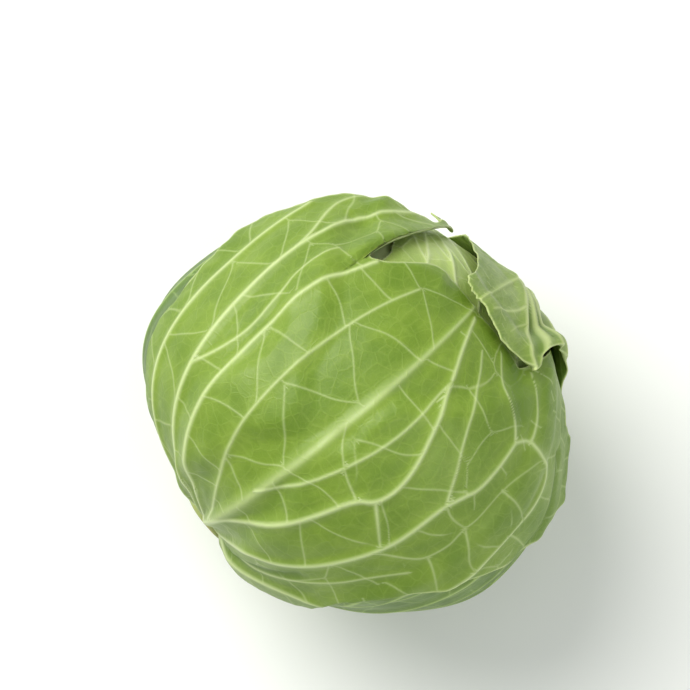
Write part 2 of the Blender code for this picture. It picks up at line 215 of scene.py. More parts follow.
def tip_reach(leaf, s):
    """How far the leaf reaches beyond its middle. The front leaf has a step, a notch and a corner."""
    step = leaf["step"] * smooth_step((s - STEP_PLACE) / STEP_WIDTH + 0.5)
    notch = leaf["notch"] * fading(s - NOTCH_PLACE, NOTCH_HALF_WIDTH)
    corner = leaf["corner"] * smooth_step((s - CORNER_PLACE) / CORNER_WIDTH + 0.5)
    return leaf["tip"] - TIP_ROUNDING * side_of(leaf["end"], s) * s**4 - step - notch + corner


def uneven(leaf, u, s):
    """The fine unevenness of a margin, in degrees, which dies away inwards."""
    side = 2.1 * leaf["phase"] + 1.7 * (s < 0)
    wave = np.sin(53.0 * u + side) + 0.7 * np.sin(97.0 * u + 2.3 * side) + 0.5 * np.sin(171.0 * u + side)
    size = UNEVEN_BACK if leaf["name"] == "back_leaf" else UNEVEN
    return size * wave * np.abs(s) ** 12 * smooth_step(u / 0.2)


def tip_share(leaf, y, s):
    """Which point of the tip's edge a point lies level with, from -1 to 1."""
    return np.clip(y / side_of(leaf["end"], s), -1.0, 1.0)


def on_plan(leaf, u, s):
    away = base_angle(leaf)
    start = away - leaf["middle"]
    round_stalk = away * (1.0 - np.cos(np.radians(CLASP * s))) * (1.0 - u) ** 6
    tip_wave = np.sin(19.0 * s + leaf["phase"]) + 0.6 * np.sin(37.0 * s) + 0.15 * np.sin(97.0 * s + 1.0)
    y = s * (half_width(leaf, u, s) - uneven(leaf, u, s)) + leaf["bend"] * np.sin(math.pi * u)
    shorter = leaf["tip"] - tip_reach(leaf, tip_share(leaf, y, s))
    x = start + (leaf["tip"] - start) * u - shorter * u**2 - round_stalk - TIP_WAVE * tip_wave * u**12
    return x, y


for leaf in LEAVES:
    length = ARC * (leaf["tip"] + leaf["middle"] - base_angle(leaf))
    width = ARC * sum(leaf["sides"])
    print(leaf["name"], "is", round(length), "mm long and up to", round(width), "mm wide")

# %% [markdown]
# ## How the leaves lie on one another
#
# A cabbage grows from the inside out, and each leaf is pressed round what was there before. We do the same:
# a leaf's distance from the head's centre is the core's, plus a little for every leaf that lies under it at
# that place. Cloth simulation could do this too, but it is slow and never twice the same, and a firm head's
# leaves keep their place. Where a later leaf covers one, its relief is pressed flatter.

# %% Inside and outside a leaf
COVER_MARGIN, COVER_FALL, OUTLINE_STEPS = 6.0, 11.0, 48


def outline(leaf):
    """The leaf's outline: from the stalk up the left margin, across the tip and down the right."""
    run = (1.0 - np.cos(math.pi * np.linspace(0.0, 1.0, OUTLINE_STEPS))) / 2.0
    up_left = on_plan(leaf, run, -np.ones_like(run))
    width = np.linspace(-1.0, 1.0, 3 * OUTLINE_STEPS)
    across = on_plan(leaf, np.ones_like(width), width)
    down_right = on_plan(leaf, run[::-1], np.ones_like(run))
    x = np.concatenate(([-leaf["middle"]], up_left[0], across[0], down_right[0]))
    y = np.concatenate(([0.0], up_left[1], across[1], down_right[1]))
    return list(zip(x, y, np.roll(x, -1), np.roll(y, -1)))


def inside(leaf, x, y):
    """How far inside the leaf's outline a point of the plan is, in millimetres, and below 0 outside it."""
    nearest = np.full(x.shape, 360.0)
    within = np.zeros(x.shape, dtype=bool)
    for ax, ay, bx, by in outline(leaf):
        dx, dy = bx - ax, by - ay
        share = np.clip(((x - ax) * dx + (y - ay) * dy) / max(dx * dx + dy * dy, 1e-9), 0.0, 1.0)
        nearest = np.minimum(nearest, np.hypot(x - ax - share * dx, y - ay - share * dy))
        if abs(dy) > 1e-9:
            within ^= ((ay > y) != (by > y)) & (x < ax + (y - ay) * dx / dy)
    return ARC * np.where(within, nearest, -nearest)


def cover(leaf, d):
    x, y = plan(leaf, d)
    return smooth_step((inside(leaf, x, y) + COVER_MARGIN + COVER_FALL) / COVER_FALL)


print("a leaf's outline has", len(outline(LEAVES[0])), "edges")

# %% The core
CORE_RADIUS, CORE_TOP = 81.0, 73.0
CORE_SQUARENESS, CORE_SQUARER_LEFT, CORE_SQUARER_BASE = 2.35, 0.35, 0.35
CORE_FULLER_SIDE, CORE_LEANING = 1.8, 3.5
# Where the core is fuller or flatter: millimetres, then the bearing, height and reach in degrees
BULGES = ((-3.4, 100, 143, 18), (-2.8, -97, 133, 9), (-2.6, -92, 106, 11), (3.2, 67, 20, 13),
          (2.4, 79, 36, 9), (2.6, 89, 82, 13), (2.2, -77, 32, 10))
BULGES_FADE = (14.0, 22.0)   # they fade out towards the stalk, between these heights


def core_radius(d):
    flat = np.hypot(d[..., 0], d[..., 1]) / CORE_RADIUS
    tall = np.abs(d[..., 2]) / np.where(d[..., 2] > 0, CORE_TOP, CORE_BOTTOM)
    power = CORE_SQUARENESS - CORE_SQUARER_LEFT * d[..., 1] - CORE_SQUARER_BASE * d[..., 2]
    leaning = CORE_LEANING * d[..., 1] * d[..., 2]
    radius = (flat**power + tall**power) ** (-1.0 / power) + CORE_FULLER_SIDE * d[..., 1] + leaning
    start, full = BULGES_FADE
    share = smooth_step((degrees_from(towards(0, 0), d) - start) / (full - start))
    for more, bearing, height, reach in BULGES:
        radius = radius + share * more * fading(degrees_from(towards(bearing, height), d), reach)
    return radius


for place, way in (("crown", (0.0, 0.0, 1.0)), ("side", (1.0, 0.0, 0.0)), ("stalk", (0.0, 0.0, -1.0))):
    print("the core's radius at its", place, "is", round(float(core_radius(np.array(way))), 1), "mm")

# %% The layers
MIDRIB_HALF_WIDTH, MIDRIB_HEIGHT, TAPER_POWER = (4.6, 1.5), (3.4, 0.6), 1.2
MIDRIB_BLEND = 2.0   # how much wider a midrib shows through the leaf on it, in millimetres
REST_SLOT, REST_CONE = 1.9, 0.3


def taper(ends, u):
    return ends[1] + (ends[0] - ends[1]) * (1.0 - u) ** TAPER_POWER


def midrib_line(leaf, x):
    """How far along the leaf x is, and where its midrib runs there."""
    start = base_angle(leaf) - leaf["middle"]
    u = np.clip((x - start) / (leaf["tip"] - start), 0.0, 1.0)
    return u, leaf["bend"] * np.sin(math.pi * u)


def midrib_swell(leaf, d):
    x, y = plan(leaf, d)
    u, line = midrib_line(leaf, x)
    off = ARC * (y - line)
    wide = 2.0 * taper(MIDRIB_HALF_WIDTH, u) + MIDRIB_BLEND
    return taper(MIDRIB_HEIGHT, u) * np.exp(-((off / wide) ** 4))


def puff(leaf, d):
    """How far the leaf stands out where it is puffed up."""
    height, middle_x, middle_y, reach = leaf["puff"]
    x, y = plan(leaf, d)
    return height * np.exp(-((x - middle_x) ** 2 + (y - middle_y) ** 2) / reach**2)


def ground_radius(d, order):
    radius = core_radius(d)
    for leaf in LEAVES[:order]:
        radius = radius + cover(leaf, d) * (LAYER_RISE + midrib_swell(leaf, d) + puff(leaf, d))
    return radius


def exposed(d, order):
    share = np.ones(d.shape[:-1])
    for leaf in LEAVES[order + 1 :]:
        share = share * (1.0 - cover(leaf, d))
    return share


def rest_limit(d, layers_outside):
    down = d @ DOWN
    flat = REST_HEIGHT / np.maximum(down, REST_CONE)
    return np.where(down > REST_CONE, flat, 10.0 * REST_HEIGHT) - REST_SLOT * layers_outside


print("the outermost leaf lies", round(float(ground_radius(np.array([[-1.0, 0.0, 0.0]]), 4)[0]), 1),
      "mm from the head's centre, at its back")

# %% [markdown]
# ## Ribs and veins
#
# A leaf's veins are its most telling feature: a thick midrib, side ribs that leave it low down and sweep
# towards the margin, branches that fork off them, and thin cross veins. We keep each one as a short list of
# points on the plan. The front leaf faces the eye, so its veins are placed one by one, and so are the
# pleats near the back leaf's tip. The others follow the same rule as the model's solids, with forks at
# seeded random places. A displacement texture would be quicker, but it can't make veins fork and join.

# %% Kinds of vein
# At the start and the end, in millimetres: the pale line's half width, the rise under it, or the hollow
# where it is below 0, and the rise's half width. Then how pale the line is
VEINS = dict(
    rib=dict(half=(1.15, 0.8), rise=(1.7, 1.1), rise_half=(2.8, 2.1), paleness=(0.95, 0.75)),
    branch=dict(half=(0.8, 0.55), rise=(0.9, 0.5), rise_half=(2.3, 1.9), paleness=(0.75, 0.5)),
    cross=dict(half=(0.55, 0.4), rise=(0.4, 0.25), rise_half=(2.0, 1.8), paleness=(0.5, 0.3)),
    pleat=dict(half=(1.7, 1.3), rise=(2.4, 1.9), rise_half=(3.4, 3.0), paleness=(0.9, 0.8)),
    # A fold is a hollow, and its mask paints deep green into it: painted shade in the groove, partly the
    # leaf's own deeper green
    fold_shade=dict(half=(1.8, 1.5), rise=(-1.5, -0.9), rise_half=(2.6, 2.2), paleness=(0.0, 0.0)),
    # A dip is a broad hollow that the same mask paints darker, as painted shade
    dip=dict(half=(4.0, 3.6), rise=(-0.5, -0.4), rise_half=(6.0, 5.0), paleness=(0.0, 0.0)),
)
VEINS["thin_rib"] = VEINS["branch"]
PARTING = ("rib", "thin_rib")   # these part a leaf into strips
print("kinds of vein:", ", ".join(VEINS))

# %% The front leaf's own veins, as points on the plan
FRONT_VEINS = (
    ("rib", ((-71, 0.5), (-66, 5), (-57, 9.5), (-49, 12.2), (-41.6, 15), (-36, 20.6), (-30, 24.4),
             (-24, 27.5), (-16, 30.7), (-9.4, 33), (-2, 34.8), (9.5, 35), (13, 35.4), (18.6, 37.2),
             (21.7, 38.6), (29, 38.5), (34.3, 38.1), (38.4, 37.7))),
    ("branch", ((13, 35.4), (16.5, 32.9), (21.4, 29.9), (25.5, 26.6), (33, 22), (42, 18), (50, 12))),
    ("rib", ((-35, 43), (-30.4, 46), (-26.8, 50), (-21.3, 54.2), (-15, 55.2), (-9.3, 55.6), (0, 57.3),
             (9.7, 58.2), (18.8, 57.6), (25, 59.4), (31, 60.3), (38, 58.8), (42, 55.5), (42, 49.5),
             (42.6, 42.5))),
    ("rib", ((-62, 0), (-52, 1), (-41, 3.1), (-32, 7.8), (-23.5, 12.3), (-12.5, 16), (-2.2, 18.8),
             (0.5, 22.5), (6.4, 23.6), (14, 22), (24, 17.5), (36, 12), (46, 6.5), (56, 3))),
    ("cross", ((-2.2, 18.8), (-1.6, 16.6), (0, 12), (4, 6), (8, 3))),
    ("branch", ((0.5, 22.9), (-2.9, 27.7), (-6.7, 32.8))),
    ("cross", ((-9.4, 33), (-6.5, 37.6), (-3.2, 42.8), (-0.5, 44.7), (6, 46), (9.4, 45.3), (12.3, 45),
               (15.7, 45.6), (21.3, 45.1), (26.6, 44.9), (35, 46.5), (42, 49.5))),
    ("cross", ((-0.5, 44.7), (-1.9, 48.1), (-5.7, 54))),
    ("cross", ((12.3, 45), (9.6, 49.3), (5.8, 54.1), (5, 57.5))),
    ("cross", ((26.6, 44.9), (27, 52), (25, 59.4))),
    ("cross", ((13, 35.4), (11.5, 40), (12.3, 45))),
    ("cross", ((0, 57.3), (-1, 64), (-3, 71))),
    ("cross", ((18.8, 57.6), (20, 65), (19, 73))),
    ("branch", ((38.4, 37.7), (43.3, 32.7), (46.7, 25.5), (50.4, 21.7), (56, 17))),
    ("branch", ((38.4, 37.7), (41.4, 40), (42.6, 42.5), (48, 40.5), (52, 38), (56, 33.6), (61, 29))),
    ("rib", ((-72, 8), (-67, 15), (-61.8, 20.9), (-53.8, 27), (-46.9, 31.8), (-41.2, 36.1), (-35, 43))),
    ("branch", ((-60, 15.5), (-55.5, 20.2), (-47, 24.4), (-39.2, 28), (-32, 31.8), (-24.2, 36),
                (-16.2, 39.3), (-7.4, 45))),
    # Two folds, hollows painted dark as shade: one below the lowest rib, one drawing the shade along a
    # leaf's edge on the right
    ("fold_shade", ((-73, 7), (-66, 13), (-56.6, 18.6), (-48, 22.2), (-40, 25.5), (-33, 27.5))),
    ("fold_shade", ((50, 60.5), (44, 67), (37, 73), (25.5, 75.5), (15, 74), (6.6, 71), (-5.6, 66), (-16, 61))),
    ("rib", ((-69, -1), (-60, -5), (-48, -15), (-34, -27), (-18, -36), (-2, -42), (12, -45),
             (22.6, -46.1), (29, -46.4), (36, -46.5), (45.8, -48.6), (54.5, -45.6), (66, -44),
             (78, -43.5), (92, -41))),
    ("branch", ((24, -46.2), (31.2, -48.6), (39.7, -55), (46, -57.5), (56, -57))),
    ("rib", ((-70, -3), (-65, -11), (-57, -20), (-48, -30), (-37, -40), (-24, -48.5), (-8, -55), (8, -59),
             (24, -61), (36, -62))),
    ("rib", ((-64, 0), (-55, -3), (-46, -9), (-36, -16), (-24, -22.5), (-10, -27.5), (4, -30), (18, -31),
             (30, -30), (40, -27))),
    ("thin_rib", ((-52, 0), (-42, -2), (-32, -6), (-20, -11), (-8, -14.5), (6, -16.5), (20, -17),
                  (34, -16), (46, -14))),
    ("cross", ((-62, -4), (-57, -7), (-52, -10), (-47, -14))),
    ("cross", ((-54, -3), (-50, -6), (-44, -9))),
    ("branch", ((-22, 2), (-12, 7), (0, 11), (14, 13.5), (28, 12.5), (36, 12))),
    ("branch", ((-18, -36), (-8, -33.5), (2, -33), (12, -36), (22, -38), (34, -38))),
    ("cross", ((60, -44.6), (66, -40), (74, -37))),
    # A broad hollow with shade painted into it by the same mask as the folds
    ("dip", ((57, 24), (52, 27), (46, 33))),
)

# %% The pleats near the tip of the back leaf
BACK_PLEATS = (
    ("pleat", ((60, 6), (70, 0), (76.6, -6.6), (84, -13.5), (90.4, -21.2), (95, -27.5), (98, -34),
               (96.6, -41))),
    ("pleat", ((66, -1), (72, -5), (76.6, -9), (81.3, -15.8), (86, -25.2), (90, -33), (91.8, -39))),
    ("pleat", ((62, -6), (70, -11), (76.7, -18), (80, -25), (83.1, -34.3))),
    ("pleat", ((54, -11), (62, -17), (69, -25), (73, -35))),
    ("branch", ((84, -13.5), (92, -14), (100, -11), (108, -8))),
    ("cross", ((90.4, -21.2), (97, -20.5), (104, -22))),
    # The folds are the valleys between the pleats, with shade painted into them
    ("fold_shade", ((72, -3.5), (78, -8.6), (84.5, -18.8), (89.6, -28), (93, -35))),
    ("fold_shade", ((69, -8.5), (75, -13), (79.5, -20), (84, -29))),
    ("fold_shade", ((64, -12.5), (70, -17.5), (75.5, -25.5), (78.5, -33))),
)

print(len(FRONT_VEINS), "lines are placed on the front leaf and", len(BACK_PLEATS), "on the back leaf")

# %% Veins that follow the rule
# Side ribs: where the rib leaves the midrib, how far out it settles, and how fast
SIDE_RIBS = ((0.02, 0.79, 0.08), (0.06, 0.45, 0.10), (0.09, 0.61, 0.12),
             (0.15, 0.28, 0.12), (0.34, 0.17, 0.10), (0.52, 0.08, 0.08))
RIB_ENDS, RIB_ENDS_BACK, RIB_STEPS = 0.97, 0.6, 22
WAVER, WAVER_PACE = 0.5, 0.22    # a rib's slight waver: degrees to a side, radians a degree
FORKS, FORK_REACH = (6, 9, 12, 15, 18), (10.0, 17.0)


def rounded(points, cuts=2):
    """Cuts a line's corners off, so that it bends smoothly. Its ends stay."""
    points = np.asarray(points, float)
    for _ in range(cuts):
        before, after = points[:-1], points[1:]
        cut = np.stack([0.75 * before + 0.25 * after, 0.25 * before + 0.75 * after], 1).reshape(-1, 2)
        points = np.concatenate([points[:1], cut, points[-1:]])
    return points


def rib_path(rib, u):
    leaves_at, settles, pace = rib
    return settles * (1.0 - np.exp(-np.maximum(u - leaves_at, 0.0) / pace))


def grown_veins(leaf, seed):
    """Side ribs by the rule that shapes the solids, each with forks to both sides."""
    chance = np.random.default_rng(seed)
    veins = list(BACK_PLEATS) if leaf["name"] == "back_leaf" else []
    for side in (-1.0, 1.0):
        for number, rib in enumerate(SIDE_RIBS):
            ends = RIB_ENDS_BACK if leaf["name"] == "back_leaf" else RIB_ENDS
            u = np.linspace(rib[0], ends, RIB_STEPS)
            x, y = on_plan(leaf, u, side * np.maximum(rib_path(rib, u), 0.004))
            line = np.stack([x, y + WAVER * np.sin(WAVER_PACE * x + 1.9 * number + side)], 1)
            veins.append(("rib" if number < 4 else "thin_rib", line))
            turn = side
            for k in FORKS:
                start = line[k] + (line[k + 1] - line[k]) * chance.random()
                ahead = unit(line[k + 1] - line[k])
                across = np.array([-ahead[1], ahead[0]])
                reach, turn = chance.uniform(*FORK_REACH), -turn
                steps = [start + reach * t * (ahead * (0.75 + 0.4 * t) + turn * across * (0.72 - 0.25 * t))
                         for t in (0.0, 0.33, 0.66, 1.0)]
                veins.append(("cross" if number > 2 else "branch", np.array(steps)))
    return veins


def veins_of(leaf):
    order = LEAVES.index(leaf)
    veins = FRONT_VEINS if leaf["name"] == "front_leaf" else grown_veins(leaf, 40 + order)
    return [(kind, np.array(points, float)) for kind, points in veins]


for leaf in LEAVES:
    print(leaf["name"], "has", len(veins_of(leaf)), "drawn veins")

# %% [markdown]
# ## Distance to a vein
#
# To raise a vein and to make it pale, each point of the blade has to know how far it is from that vein. We
# measure straight to the vein's segments in space, on a ball of the head's size, because the plan stretches
# lengths near its rim. A vein is thinner than the mesh is fine, so the points also keep on which side of it
# they are: a number that passes evenly through zero draws a sharp line, wherever the points happen to lie.

# %% Measuring on the head
VEIN_REACH, FAR = 14.0, 99.0   # in millimetres: how far a vein is measured, and what stands for no vein
# How far a fold's painted shade spreads, in shares of its half width, and how far a vein's pale halo spreads
FOLD_SHADE_SPREAD, HALO_SPREAD, HALO_LEAST = 1.6, 1.5, 1.5


def distance_to_line(points, line):
    """How far each point is from a line, on which side, and where along the line that is, from 0 to 1."""
    nearest = np.full(len(points), 1e6)
    run, side = np.zeros(len(points)), np.ones(len(points))
    for i in range(len(line) - 1):
        step = line[i + 1] - line[i]
        share = np.clip((points - line[i]) @ step / max(step @ step, 1e-9), 0.0, 1.0)
        gap = points - line[i] - share[:, None] * step
        apart = np.einsum("ij,ij->i", gap, gap)
        closer = apart < nearest
        nearest = np.where(closer, apart, nearest)
        run = np.where(closer, (i + share) / (len(line) - 1), run)
        side = np.where(closer, np.sign(points @ np.cross(step, line[i]) + 1e-9), side)
    return np.sqrt(nearest), side, run


def ripple(points, size, seed, count=9):
    """Smooth waves of about this size in millimetres, from -1 to 1. A seed always gives the same ones."""
    chance = np.random.default_rng(seed)
    total = np.zeros(points.shape[:-1])
    for _ in range(count):
        way = unit(chance.normal(size=3)) * 2.0 * math.pi / (size * chance.uniform(0.75, 1.5))
        total = total + np.sin(points @ way + chance.uniform(0.0, 2.0 * math.pi))
    return np.clip(total / math.sqrt(2.0 * count), -1.0, 1.0)


def vein_fields(leaf, points):
    """What the drawn veins give each point, as one array a name."""
    zero = np.zeros(len(points))
    height, hollow, halo, fold_shade, line_half, paleness = (zero.copy() for _ in range(6))
    nearest, side_of_line, small = (np.full(len(points), FAR) for _ in range(3))
    for kind, plan_line in veins_of(leaf):
        size = VEINS[kind]
        curve = rounded(plan_line)
        line = HEAD_RADIUS * directions(leaf, curve[:, 0], curve[:, 1])
        middle = line.mean(0)
        reach = np.linalg.norm(line - middle, axis=1).max() + VEIN_REACH
        near = np.flatnonzero(np.linalg.norm(points - middle, axis=1) < reach)
        away, side, run = distance_to_line(points[near], line)
        half = taper(size["half"], run)
        rise = taper(size["rise"], run) * fading(away, taper(size["rise_half"], run))
        # Folds and dips are hollows; the mask kept here paints deep green into them, as painted shade
        if kind in ("fold_shade", "dip"):
            hollow[near] = np.minimum(hollow[near], rise)
            fold_shade[near] = np.maximum(fold_shade[near], fading(away, FOLD_SHADE_SPREAD * half))
            continue
        height[near] = np.maximum(height[near], rise)
        strength = taper(size["paleness"], run)
        glow = strength * np.exp(-(away / (HALO_SPREAD * half + HALO_LEAST)))
        halo[near] = np.maximum(halo[near], glow)
        if kind == "cross":
            small[near] = np.minimum(small[near], away)
        closer = away < nearest[near]
        mine = near[closer]
        nearest[mine], side_of_line[mine] = away[closer], (away * side)[closer]
        line_half[mine], paleness[mine] = half[closer], strength[closer]
    return dict(height=height + hollow, halo=halo, fold_shade=fold_shade, nearest=nearest, side=side_of_line,
                half=line_half, paleness=paleness, small=small)


print("waves at the crown:", np.round(ripple(np.array([[0.0, 0.0, HEAD_RADIUS]]), 22.0, 1), 2))

# %% [markdown]
# ## The net between the ribs
#
# Between two ribs, thin cross veins part the blade into cells about 17 mm long, and the blade puckers a
# little inside each. Such a net is what you get when every point joins its nearest cell centre, so we sow
# centres along each strip between ribs and measure how far each point is from the border between the two
# nearest. A texture node could draw such cells too, but they would run across the ribs instead of ending at
# them.

# %% Cells of the net
CELL_LENGTH, CELL_WIDTH = 17.0, 20.0   # in millimetres
CELL_SHIFT, CELL_CHANCE = 0.22, 0.18   # how far a centre is shifted in its row, in shares of a cell
PLAN_EDGE, OVERHANG = 95.0, 12.0       # the plan's rim in degrees, and how far outside a leaf cells are sown
NET_WARP, NET_WARP_SIZE = 1.6, 22.0    # the net's borders are bent this much by waves of this size


def strip_lines(leaf):
    """The ribs that part the leaf into strips, as y for a rising x, from left to right."""
    x = np.linspace(-90.0, 130.0, 221)
    lines = [midrib_line(leaf, x)[1]]
    for kind, line in veins_of(leaf):
        if kind in PARTING:
            curve = rounded(line)
            rising = np.concatenate([[True], curve[1:, 0] > np.maximum.accumulate(curve[:-1, 0])])
            lines.append(np.interp(x, curve[rising, 0], curve[rising, 1]))
    lines.sort(key=lambda y: y[60:180].mean())
    return x, np.array(lines)


def strip_of(x, y, strips):
    grid, lines = strips
    return sum((y > np.interp(x, grid, line)).astype(int) for line in lines)


def cell_centres(leaf, strips, seed):
    """Seeded cell centres in rows along each strip, as plan points with the number of their strip."""
    chance = np.random.default_rng(seed)
    grid, lines = strips
    rim = np.full((1, len(grid)), PLAN_EDGE)
    bounds = np.concatenate([-rim, lines, rim])
    centres, owners = [], []
    for strip in range(len(bounds) - 1):
        x = base_angle(leaf) - leaf["middle"] + chance.uniform(2.0, 6.0)
        row = 0
        while x < leaf["tip"] + 4.0:
            low, high = (float(np.interp(x, grid, bounds[k])) for k in (strip, strip + 1))
            count = max(1, round((high - low) * ARC / CELL_WIDTH))
            for k in range(count):
                shift = CELL_SHIFT * (-1) ** row + chance.uniform(-CELL_CHANCE, CELL_CHANCE)
                share = (k + 0.5 + shift) / count
                y = low + (high - low) * share
                centres.append((x + chance.uniform(-2.0, 2.0), y))
                owners.append(strip)
            x += CELL_LENGTH / ARC * chance.uniform(0.8, 1.25)
            row += 1
    centres, owners = np.array(centres), np.array(owners)
    kept = inside(leaf, centres[:, 0], centres[:, 1]) > -OVERHANG
    return centres[kept], owners[kept]


def net_distance(leaf, x, y, points, seed):
    """How far each point is from the nearest border between two cells, with its side as the sign."""
    strips = strip_lines(leaf)
    centres, owners = cell_centres(leaf, strips, seed)
    waves = np.stack([ripple(points, NET_WARP_SIZE, seed + k) for k in range(3)], 1)
    warped = points + NET_WARP * waves
    mine = strip_of(x, y, strips)
    result = np.full(len(points), 30.0)
    for strip in range(len(strips[1]) + 1):
        here, own = mine == strip, owners == strip
        if here.sum() == 0 or own.sum() < 2:
            continue
        seeds = HEAD_RADIUS * directions(leaf, centres[own, 0], centres[own, 1])
        apart = np.linalg.norm(warped[here][:, None, :] - seeds[None], axis=2)
        two = np.argpartition(apart, 1, axis=1)[:, :2]
        d = np.take_along_axis(apart, two, 1)
        between = np.linalg.norm(seeds[two[:, 0]] - seeds[two[:, 1]], axis=1)
        signed = (d[:, 1] ** 2 - d[:, 0] ** 2) / (2.0 * np.maximum(between, 1e-6))
        result[here] = np.where(two[:, 0] < two[:, 1], signed, -signed)
    return result


for order, leaf in enumerate(LEAVES):
    print(leaf["name"], "has", len(strip_lines(leaf)[1]) + 1, "strips between its ribs")

# %% [markdown]
# ## A leaf's blade
#
# Now the pieces come together. A grid is laid on the plan, and every one of its points gets a distance from
# the head's centre: what lies beneath, a small gap, the pucker of the cells, the lift of a free margin, and
# on the outer face the ribs as well. Extruding the grid gives the second face and the rim between them, so
# the blade is closed. What the materials need to know, such as how near a rib is, is kept on the points as
# named attributes.

# %% The two faces of a blade, in millimetres
ROWS, COLUMNS, CROWDING = 205, 241, 2.5
LAYER_GAP, BLADE, THIN_MARGIN, MARGIN_REACH = 0.9, 1.1, 0.5, 7.0
PUCKER, PUCKER_REACH, FINE_PUCKER, FINE_PUCKER_REACH, PUCKER_SIZE = 0.5, 6.0, 0.3, 3.5, 30.0
NET_RISE, NET_RISE_HALF, NET_FADE = 0.22, 1.8, (1.5, 5.0)
LIFT_REACH, LIFT_START, LIFT_FULL, FLUTTER = 9.0, 0.12, 0.37, 0.6
FRINGE, FRINGE_REACH, FRINGE_SIZE = 0.5, 5.0, 11.0
PRESSED_FLAT = 0.25      # the share of its relief that a covered leaf keeps
MIDRIB_FLANK, MIDRIB_HALO, CELL_REACH, BASE_REACH = 0.4, 2.0, 8.0, 13.0


def column_places(leaf):
    """Places from the left margin to the right, closer together at the leaf's step."""
    even = np.linspace(-1.0, 1.0, 2001)
    crowding = 1.0 + (CROWDING if leaf["step"] else 0.0) * fading(even - STEP_PLACE, STEP_WIDTH)
    run = np.cumsum(crowding)
    return np.interp(np.linspace(run[0], run[-1], COLUMNS), run, even)


def blade_shape(order):
    """The two faces of a leaf as grids of points, and what the materials read, as one array a name."""
    leaf = LEAVES[order]
    u, s = np.meshgrid(np.linspace(0.0, 1.0, ROWS), column_places(leaf), indexing="ij")
    u, s = u.ravel(), s.ravel()
    x, y = on_plan(leaf, u, s)
    d = directions(leaf, x, y)
    points = HEAD_RADIUS * d
    free = exposed(d, order)
    showing = PRESSED_FLAT + (1.0 - PRESSED_FLAT) * free
    veins = vein_fields(leaf, points)
    off_midrib = s * ARC * half_width(leaf, u, s)
    midrib_half = taper(MIDRIB_HALF_WIDTH, u)
    midrib = taper(MIDRIB_HEIGHT, u) * fading(off_midrib, midrib_half)
    flank = np.abs(off_midrib) - MIDRIB_FLANK * midrib_half
    nearest = np.minimum(veins["nearest"], np.maximum(flank, 0.0))
    net_side = net_distance(leaf, x, y, points, 100 + order)
    net = np.abs(net_side)
    cell = np.minimum(net, nearest)
    # How far the margin is, for a lift, a fringe and a thinner blade there
    across = half_width(leaf, u, s) * (1.0 - np.abs(s))
    margin = np.clip(inside(leaf, x, y), 0.0, ARC * np.minimum(across, (leaf["tip"] + 70.0) * (1.0 - u)))
    near = fading(margin, LIFT_REACH)
    loose = smooth_step((u - LIFT_START) / (LIFT_FULL - LIFT_START))
    flutter = 1.0 + FLUTTER * np.sin(leaf["waves"] * math.pi * u + leaf["phase"] + 3.0 * s)
    fringe = 1.0 + ripple(points, FRINGE_SIZE, 200 + order)
    fringe = FRINGE * fringe * fading(margin, FRINGE_REACH)
    # The tissue between the veins is puckered, more in some places than in others
    pucker = PUCKER * (1.0 - fading(nearest, PUCKER_REACH))
    pucker = pucker + FINE_PUCKER * (1.0 - fading(cell, FINE_PUCKER_REACH))
    pucker = pucker * (0.75 + 0.25 * ripple(points, PUCKER_SIZE, 300 + order))
    raised = pucker * showing + (leaf["lift"] * flutter * near + fringe) * free * loose
    # The net's cross veins fade out beside the drawn ones, so that no two run side by side
    net_pale = smooth_step((veins["small"] - NET_FADE[0]) / NET_FADE[1])
    netting = NET_RISE * net_pale * fading(net, NET_RISE_HALF)
    height = veins["height"]
    relief = np.where(height < 0.0, height, np.maximum(height, netting)) * showing
    thickness = THIN_MARGIN + (BLADE - THIN_MARGIN) * smooth_step(margin / MARGIN_REACH)
    inner = ground_radius(d, order) + LAYER_GAP + puff(leaf, d) + raised + np.minimum(relief, 0.0)
    outer = inner + thickness + np.maximum(np.maximum(relief, 0.0), midrib)
    # Where the head rests on the floor, its leaves are pressed flat
    limit = rest_limit(d, len(LEAVES) - 1 - order)
    outer = np.minimum(outer, limit)
    inner = np.minimum(inner, limit - THIN_MARGIN)
    base = np.hypot(x - (base_angle(leaf) - leaf["middle"]), 0.6 * y) * ARC
    glow = 0.5 * np.exp(-np.maximum(np.abs(off_midrib) - midrib_half, 0.0) / MIDRIB_HALO)
    # One of these marks where shade is painted into the folds and the dip
    looks = dict(
        vein_side=veins["side"], vein_near=veins["nearest"], vein_half=np.maximum(veins["half"], 0.3),
        vein_pale=veins["paleness"], net_side=net_side, net_near=net, net_pale=net_pale,
        midrib_side=off_midrib / midrib_half, halo=np.maximum(veins["halo"], glow),
        cell=np.clip(cell / CELL_REACH, 0.0, 1.0), fold_shade=veins["fold_shade"], edge=margin + 30.0 * (1.0 - loose),
        base=fading(base, BASE_REACH),
    )
    return d * outer[:, None], d * inner[:, None], np.stack([x, y], 1), looks


print("each face of a blade is a grid of", ROWS, "x", COLUMNS, "points")


# %% From points to a piece
def keep_attribute(mesh, name, values):
    data = mesh.attributes.new(name, "FLOAT", "POINT").data
    data.foreach_set("value", np.asarray(values, np.float32))


def finish_mesh(name, bm, finish):
    """Turns a closed mesh outside out, and makes it a piece that rides with the head."""
    bmesh.ops.recalc_face_normals(bm, faces=bm.faces[:])
    if bm.calc_volume(signed=True) < 0.0:
        bmesh.ops.reverse_faces(bm, faces=bm.faces[:])
    mesh = bpy.data.meshes.new(name)
    bm.to_mesh(mesh)
    bm.free()
    mesh.shade_smooth()
    mesh.materials.append(finish)
    piece = bpy.data.objects.new(name, mesh)
    bpy.context.scene.collection.objects.link(piece)
    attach(piece, "root")
    return piece


PLAN_UNIT = 100.0   # millimetres to one unit of the leaf_plan map


